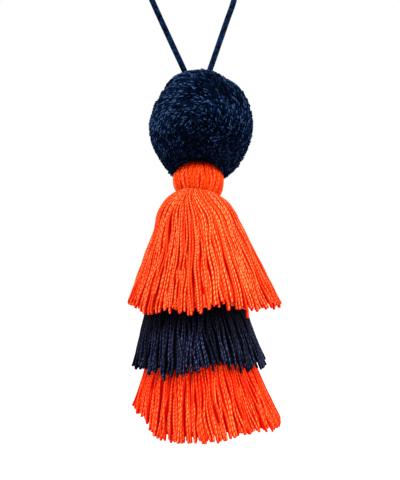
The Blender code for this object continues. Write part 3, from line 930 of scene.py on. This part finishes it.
def hang_filling(strands, skirt, rng, yarn_radius):
    """The cut ends of the yarns inside the hem, packed side by side."""
    filling = skirt.filling
    rank = (np.arange(filling.yarns) + 0.5) / filling.yarns
    angle = pi * (1 + 5 ** 0.5) * rank[:, None] * filling.yarns + rng.normal(0, 0.02, (filling.yarns, 1))
    inner, outer = filling.innermost ** 2, filling.outermost ** 2
    share = np.sqrt(inner + (outer - inner) * rank)[:, None]
    # The cut's slant fades towards the middle
    all_round = hem_offset(skirt, np.radians(np.arange(0, 360, 5))).mean()
    hem = skirt.hem + hem_offset(skirt, angle) * share + (all_round - CORE_SHORTER) * (1 - share)
    # Each is a stub of 5 mm, its cut a little short of the skirt's own
    drop = hem - rng.uniform(0.7, 1.8, hem.shape) - np.array([[5.0, 0.0]])
    drops, radii, swings = zip(*skirt.rings)
    angle = angle + np.zeros_like(drop)
    radius = share * smooth_interp(drop, drops, radii)
    centres = place_round(angle, radius, smooth_interp(drop, drops, swings), drop)
    size = yarn_radius * rng.uniform(0.85, 1.1, hem.shape) * np.array([[1.0, 0.8]])
    # Each stub is painted all round with a random share of the painted highlight and of the painted shade
    tone = np.clip(rng.normal(0.25, 0.25, filling.yarns), 0, 1)
    inward = rng.uniform(-0.95, -0.70, (filling.yarns, 1, 1))
    strands.add(centres, facing_out(angle), size, YARN_SECTION, tone, inward=inward)


def hang_layer(strands, skirt, layer, before, rng, yarn_radius, pitch):
    """One layer of a skirt's yarns, under the number that were hung before it."""
    count = layer.yarns
    hem_angle = angles_round(rng, count)
    hem = skirt.hem + hem_offset(skirt, hem_angle) - layer.shorter
    hem += rng.uniform(-skirt.ragged, skirt.ragged, count)
    # One yarn in twenty was missed by the scissors and hangs longer
    hem += np.where(rng.uniform(0, 1, count) > 0.95, rng.uniform(0.5, 2.0, count), 0)

    # Stations stand close where the yarn shows, and far apart where it is hidden
    fine = skirt.hem - INNER_SHOWN if before else skirt.fine_drop
    if not layer.coarse:
        fine = skirt.root_drop
    drop = np.linspace(0, 1, layer.fine)[None] * (hem[:, None] - fine) + fine
    if layer.coarse:
        hidden = np.linspace(skirt.root_drop, fine, layer.coarse, endpoint=False)
        drop = np.concatenate([np.tile(hidden, (count, 1)), drop], axis=1)
    drops, radii, swings = zip(*skirt.rings)
    radius = smooth_interp(drop, drops, radii)
    swing = smooth_interp(drop, drops, swings)
    down = (drop - skirt.root_drop) / (skirt.hem - skirt.root_drop)

    # Where there is no room for all side by side, the later ones lie deeper
    thick = 2 * yarn_radius / MM
    order = before + hanging_order(count)[:, None] * count
    fanned = skirt.fanned * (1 - ramp(down, 0.02, 0.32))
    pull, closeness = (part[:, None] * fanned for part in fan_pull(hem_angle))
    depth = thick / 2 + stacking(order * thick / (tau * radius * (1 + closeness)), thick)
    depth += layer.spread * rng.uniform(0, 1, (count, 1)) * down

    # Below the neck they wander, and at the hem they gather, cross and splay
    free = ramp(down, 0.02, 0.3)
    sideways = waves(rng, count, drop, ACROSS_PERIODS, ACROSS_STRENGTH * skirt.tangle) * free
    sideways += shared_waves(rng, hem_angle, drop) * free
    bunched = sum(np.sin(n * hem_angle + rng.uniform(0, tau)) / n for n in BUNCHES)
    crossing = rng.normal(0, CROSSING * skirt.tangle, (count, 1)) * down ** 1.5
    sideways = sideways + bunched[:, None] * down ** 2 + crossing
    depth += rng.normal(0, 0.10, (count, 1)) * ramp(down, 0.02, 0.2)
    depth += waves(rng, count, drop, DEPTH_PERIODS, DEPTH_STRENGTH) * free
    depth -= rng.normal(0, 0.3, (count, 1)) * down ** 2
    splay = np.exp((drop - hem[:, None]) / SPLAY_LENGTH)
    sideways += rng.normal(0, 0.4, (count, 1)) * splay
    depth -= rng.normal(0.1, 0.35, (count, 1)) * splay
    angle = hem_angle[:, None] + sideways / np.maximum(radius, 6.0) + pull
    lowered = drop + skirt.fanned * neck_tilt(angle, drop)
    centres = place_round(angle, np.maximum(radius - depth, 0.6), swing, lowered)

    twist = ply_twist(rng, centres, pitch * rng.uniform(0.75, 1.6, (count, 1)))
    # Yarns differ in thickness, and are slimmer where they are cut and where they are drawn together
    size = yarn_radius * rng.uniform(0.8, 1.12, (count, 1)) * np.ones_like(drop)
    size[:, -1] *= 0.75
    size[:, 0] *= 0.6
    # Painted shade: under the skirt above, a yarn's upper part is painted darker, with less highlight
    lit = ramp(drop, skirt.fine_drop + SHADE_END, skirt.fine_drop + LIGHT_START)
    sheltered = skirt.sheltered * (1 - lit)
    tone = np.clip(rng.normal(0.5, 0.45, (count, 1)), 0.1, 1.3) * (1 - 0.8 * sheltered)
    inward = -YARN_SECTION[:, 0] + 0.25 * sheltered[..., None]
    strands.add(centres, facing_out(angle), size, YARN_SECTION, tone, inward=inward, twist=twist)


class CHARM_OT_skirts(Operator):
    """Make the three skirts of hanging yarns"""

    bl_idname = "charm.skirts"
    bl_label = "Skirts"

    def execute(self, context):
        settings = context.scene.charm_tassel
        # Spun acrylic, dyed in the tow: a painted highlight, pale, on its fuzzy crowns, over painted shade,
        # saturated and redder, in its partings
        orange = yarn_material("spun_acrylic_orange", (*settings.top_colour, 1.0), linear(ORANGE_PAINTED_SHADE),
                               linear(ORANGE_PAINTED_HIGHLIGHT), 0.02, 0.6, ply_gap_shade=0.7)
        # In navy the painted shade is nearly black between the plies, and the painted highlight shows as
        # glints on their tops
        navy = yarn_material("spun_acrylic_navy", (*settings.middle_colour, 1.0), linear(NAVY_PAINTED_SHADE),
                             linear(NAVY_PAINTED_HIGHLIGHT), 0.03, 0.45, ply_gap_shade=0.95, fuzz=0.75)
        # The same yarn as the top one from a redder dye bath
        red = yarn_material("spun_acrylic_red_orange", (*settings.bottom_colour, 1.0),
                            linear(RED_ORANGE_PAINTED_SHADE), linear(RED_ORANGE_PAINTED_HIGHLIGHT), 0.02, 0.6, ply_gap_shade=0.7)
        plan = (
            (TOP_SKIRT, TOP_HEAD[1:6] + TOP_SKIRT.rings[2:], orange, "top_tassel", "orange_yarn", 31),
            (MIDDLE_SKIRT, MIDDLE_SKIRT.rings, navy, "middle_tassel", "navy_yarn", 32),
            (BOTTOM_SKIRT, BOTTOM_SKIRT.rings, red, "bottom_tassel", "red_orange_yarn", 33),
        )
        for skirt, core_rings, material, node, slot, seed in plan:
            rng = np.random.default_rng(seed)
            outer, inner = Strands(), Strands()
            before = 0
            for layer in skirt.layers:
                hang_layer(inner if before else outer, skirt, layer, before, rng, settings.yarn_radius,
                           settings.twist_pitch)
                before += layer.yarns
            hang_filling(inner, skirt, rng, settings.yarn_radius)
            shown = outer.finish(f"{skirt.name}_skirt_outer_yarns", material)
            hidden = inner.finish(f"{skirt.name}_skirt_inner_yarns", material)
            core = packed_core(skirt, core_rings, material)
            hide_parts(node)
            for piece in (shown, hidden, core):
                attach(piece, "root")
        return {"FINISHED"}


class CHARM_OT_head(Operator):
    """Make the top tassel's tied head"""

    bl_idname = "charm.head"
    bl_label = "Tied head"

    def execute(self, context):
        settings = context.scene.charm_tassel
        rng = np.random.default_rng(41)
        strands = Strands()
        thick = settings.head_yarn_radius / MM
        drops, radii, swings = zip(*TOP_HEAD)
        before = 0
        for count, stations in HEAD_LAYERS:
            start = angles_round(rng, count)
            drop = np.linspace(drops[0], drops[-1], stations)[None] + np.zeros((count, 1))
            radius = smooth_interp(drop, drops, radii)
            swing = smooth_interp(drop, drops, swings)
            order = before + hanging_order(count)[:, None] * count
            depth = thick + stacking(order * 2 * thick / (tau * radius), 1.5 * thick)
            depth += waves(rng, count, drop, (14.0, 6.0), 0.12)
            before += count
            # They sway, alone and together, and cross above and below the head's widest part
            sway = waves(rng, count, drop, (16.0, 7.0), 0.35) + 0.8 * shared_waves(rng, start, drop)
            sway += rng.normal(0, 0.35, (count, 1)) * (drop - 52.0) / 8.0
            angle = start[:, None] + sway / np.maximum(radius, 5.0)
            lowered = drop + neck_tilt(angle, drop)
            centres = place_round(angle, np.maximum(radius - depth, 0.8), swing, lowered)
            twist = ply_twist(rng, centres, settings.twist_pitch * 1.1)
            size = settings.head_yarn_radius * rng.uniform(0.85, 1.1, (count, 1)) * np.ones_like(drop)
            # Painted shade: under the pile, the head's top is painted darker, without highlight
            sheltered = 1 - ramp(drop, 46.0, 51.0)
            tone = np.clip(rng.normal(0.17, 0.22, (count, 1)), 0, 1) * (1 - sheltered)
            # Drawn tight, its yarns press flat on each other, with little depth between them, so they get
            # less painted shade there
            inward = -(0.42 + 0.53 * YARN_SECTION[:, 0]) + 0.2 * sheltered[..., None]
            strands.add(
                centres, facing_out(angle, 0.3), size, YARN_SECTION, tone, inward=inward, twist=twist)
        head = strands.finish("top_head_yarns", bpy.data.materials["spun_acrylic_orange"])
        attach(head, "root")
        return {"FINISHED"}


# Stage


def add_softbox(name, place, size, power):
    """A soft square lamp that faces the charm."""
    lamp = bpy.data.lights.new(name, "AREA")
    lamp.shape = "SQUARE"
    lamp.size = size
    lamp.energy = power
    item = bpy.data.objects.new(name, lamp)
    item.location = place
    item.rotation_euler = (Vector(CHARM_MIDDLE) - Vector(place)).to_track_quat("-Z", "Y").to_euler()
    bpy.context.scene.collection.objects.link(item)


class CHARM_OT_stage(Operator):
    """Make the camera, the lamps and the floor"""

    bl_idname = "charm.stage"
    bl_label = "Stage"

    def execute(self, context):
        settings = context.scene.charm_stage
        scene = context.scene
        camera = bpy.data.cameras.new("camera")
        camera.sensor_width = CAMERA_SENSOR
        camera.lens = CAMERA_LENS
        camera.clip_start = 0.01
        item = bpy.data.objects.new("camera", camera)
        item.location = [value * MM for value in CAMERA_PLACE]
        item.rotation_euler = (radians(90), 0, 0)
        scene.collection.objects.link(item)
        scene.camera = item
        scene.view_settings.view_transform = "Standard"
        world = bpy.data.worlds.new("studio")
        world.use_nodes = True
        background = world.node_tree.nodes["Background"]
        background.inputs[0].default_value = (1, 1, 1, 1)
        background.inputs[1].default_value = 1.0
        scene.world = world
        add_softbox("upper_left_softbox", *KEY_SOFTBOX, settings.key_power)
        add_softbox("right_softbox", *SIDE_SOFTBOX, settings.side_power)
        points = np.array([
            (r * cos(tau * c / FLOOR_COLUMNS), r * sin(tau * c / FLOOR_COLUMNS), FLOOR_HEIGHT)
            for r in FLOOR_RINGS for c in range(FLOOR_COLUMNS)])
        faces = ring_faces(len(FLOOR_RINGS), FLOOR_COLUMNS, closed=False)
        # Matt coated paper: evenly white and without a gleam, so the eye sees no ground but the charm alone
        material, _, shader = new_material("matt_paper_backdrop")
        shader.inputs["Base Color"].default_value = (*settings.backdrop, 1.0)
        shader.inputs["Roughness"].default_value = 0.95
        shader.inputs["Specular IOR Level"].default_value = 0.0
        build_mesh("floor", points, faces, {}, material)
        return {"FINISHED"}


# Add-on


class CHARM_PT_panel(Panel):
    """Lists the charm's operators"""

    bl_idname = "CHARM_PT_panel"
    bl_label = "Pompom Charm"
    bl_space_type = "VIEW_3D"
    bl_region_type = "UI"
    bl_category = "Charm"

    def draw(self, context):
        for step in STEPS:
            self.layout.operator(step.bl_idname)


STEPS = (CHARM_OT_stage, CHARM_OT_cord_loop, CHARM_OT_pompom, CHARM_OT_skirts, CHARM_OT_head)
GROUPS = {
    "charm_cord": CordSettings,
    "charm_pompom": PompomSettings,
    "charm_tassel": TasselSettings,
    "charm_stage": StageSettings,
}


def register():
    """Add the settings, the operators and the panel to Blender."""
    for kind in (*GROUPS.values(), *STEPS, CHARM_PT_panel):
        bpy.utils.register_class(kind)
    for name, kind in GROUPS.items():
        setattr(bpy.types.Scene, name, PointerProperty(type=kind))


def unregister():
    """Take them out again."""
    for name in GROUPS:
        delattr(bpy.types.Scene, name)
    for kind in reversed((*GROUPS.values(), *STEPS, CHARM_PT_panel)):
        bpy.utils.unregister_class(kind)


def main():
    """Build the charm on its frame."""
    register()
    # What a new Blender file starts with
    for item in list(bpy.data.objects):
        if item.type in {"CAMERA", "LIGHT"} or item.name == "Cube":
            bpy.data.objects.remove(item, do_unlink=True)
    bpy.ops.charm.stage()
    bpy.ops.charm.cord_loop()
    bpy.ops.charm.pompom()
    bpy.ops.charm.skirts()
    bpy.ops.charm.head()


if __name__ == "__main__":
    main()
